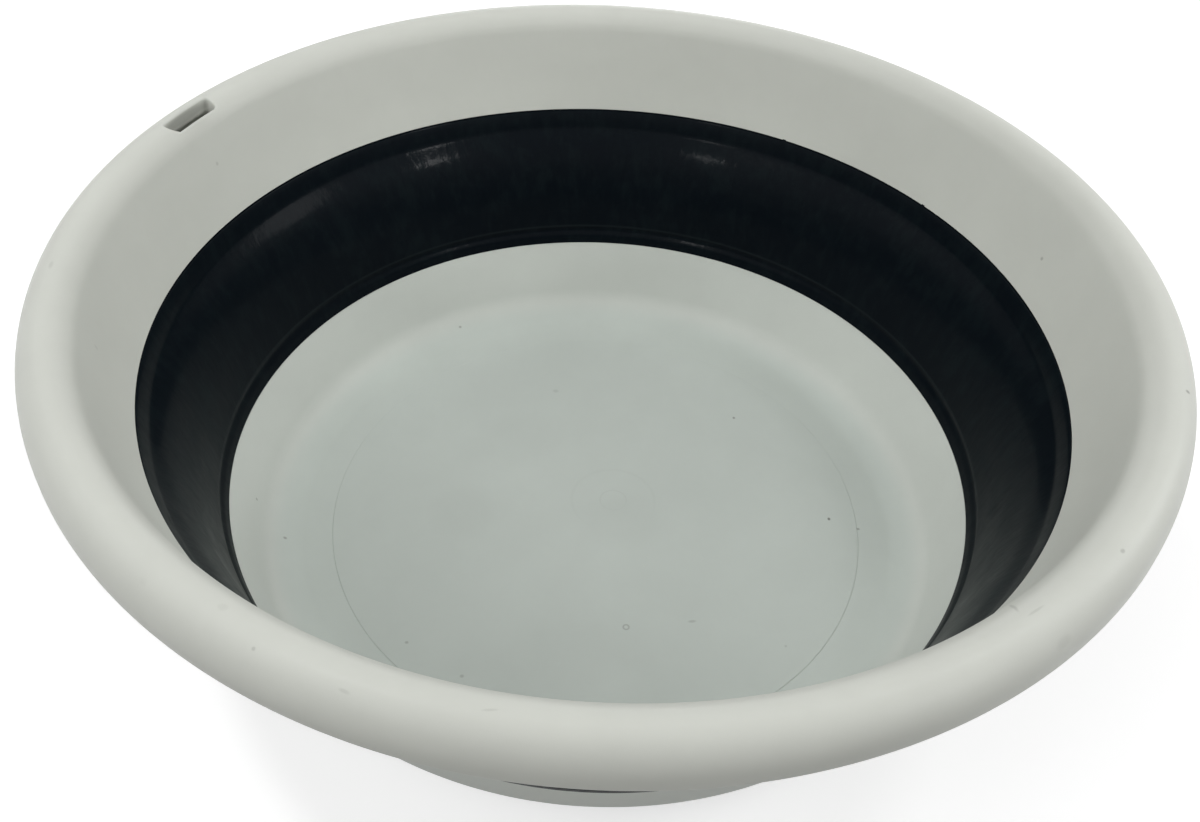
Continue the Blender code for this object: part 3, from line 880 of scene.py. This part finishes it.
upright = add_node(tree, "ShaderNodeMapping", {"vector_type": "POINT"}, {
    "Vector": place,
    "Scale": (1 / (SMEAR_WIDTH * MM), 1 / (SMEAR_WIDTH * MM), 1 / (SMEAR_LENGTH * MM)),
}).outputs["Vector"]
smears = add_node(tree, "ShaderNodeTexNoise", inputs={
    "Vector": upright, "Scale": 1, "Detail": 3, "Roughness": 0.6,
}).outputs["Fac"]
water = add_node(tree, "ShaderNodeTexNoise", inputs={
    "Vector": place, "Scale": 1 / (WATER_MARK_SIZE * MM), "Detail": 5, "Roughness": 0.6,
    "Distortion": 0.6,
}).outputs["Fac"]
bloom = add_node(tree, "ShaderNodeMath", {"operation": "MULTIPLY"}, {0: smears, 1: water}).outputs[0]
bloom = add_node(tree, "ShaderNodeMapRange", {"interpolation_type": "SMOOTHSTEP"}, {
    "Value": bloom, "From Min": TPE_BLOOM_FROM, "From Max": TPE_BLOOM_FULL,
    "To Min": 0, "To Max": TPE_BLOOM_SHARE,
}).outputs["Result"]
black = add_node(tree, "ShaderNodeMix", {"data_type": "RGBA"}, {
    "Factor": bloom, "A": linear(TPE_COLOUR), "B": linear(TPE_BLOOM_COLOUR),
}).outputs["Result"]
height = add_node(tree, "ShaderNodeSeparateXYZ", inputs={"Vector": place}).outputs["Z"]
# Painted highlight: a lighter band of colour along the ridge at the panel's lower edge.
off_ridge = add_node(tree, "ShaderNodeMath", {"operation": "SUBTRACT"}, {
    0: height, 1: on_band(RIDGE_HIGHLIGHT_DOWN)[1] * MM,
})
off_ridge = add_node(tree, "ShaderNodeMath", {"operation": "ABSOLUTE"}, {0: off_ridge.outputs[0]})
painted_ridge_highlight = add_node(tree, "ShaderNodeMapRange", {"interpolation_type": "SMOOTHSTEP"}, {
    "Value": off_ridge.outputs[0], "From Min": 0, "From Max": RIDGE_HIGHLIGHT_HALF * MM,
    "To Min": 1, "To Max": 0,
}).outputs["Result"]
black = add_node(tree, "ShaderNodeMix", {"data_type": "RGBA"}, {
    "Factor": painted_ridge_highlight, "A": black, "B": linear(TPE_RIDGE_HIGHLIGHT_COLOUR),
}).outputs["Result"]
tree.links.new(black, shader.inputs["Base Color"])
sheen = add_node(tree, "ShaderNodeMapRange", inputs={
    "Value": water, "From Min": 0.3, "From Max": 0.7,
    "To Min": TPE_ROUGHNESS - TPE_SMOOTHER_BY, "To Max": TPE_ROUGHNESS + TPE_ROUGHER_BY,
}).outputs["Result"]
tree.links.new(sheen, shader.inputs["Roughness"])
ripple = add_node(tree, "ShaderNodeBump", inputs={
    "Height": smears, "Strength": 1, "Distance": SMEAR_HEIGHT * MM,
})
tree.links.new(ripple.outputs["Normal"], shader.inputs["Normal"])
tree.links.new(ripple.outputs["Normal"], shader.inputs["Coat Normal"])
shader.inputs["IOR"].default_value = TPE_IOR
shader.inputs["Specular IOR Level"].default_value = TPE_SHINE
shader.inputs["Coat Weight"].default_value = TPE_SKIN_WEIGHT
shader.inputs["Coat Roughness"].default_value = TPE_SKIN_ROUGHNESS
shader.inputs["Coat IOR"].default_value = TPE_SKIN_IOR
band.data.materials.append(elastomer)
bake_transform(band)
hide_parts("band_lower_lip", "band_panel", "band_upper_lip")
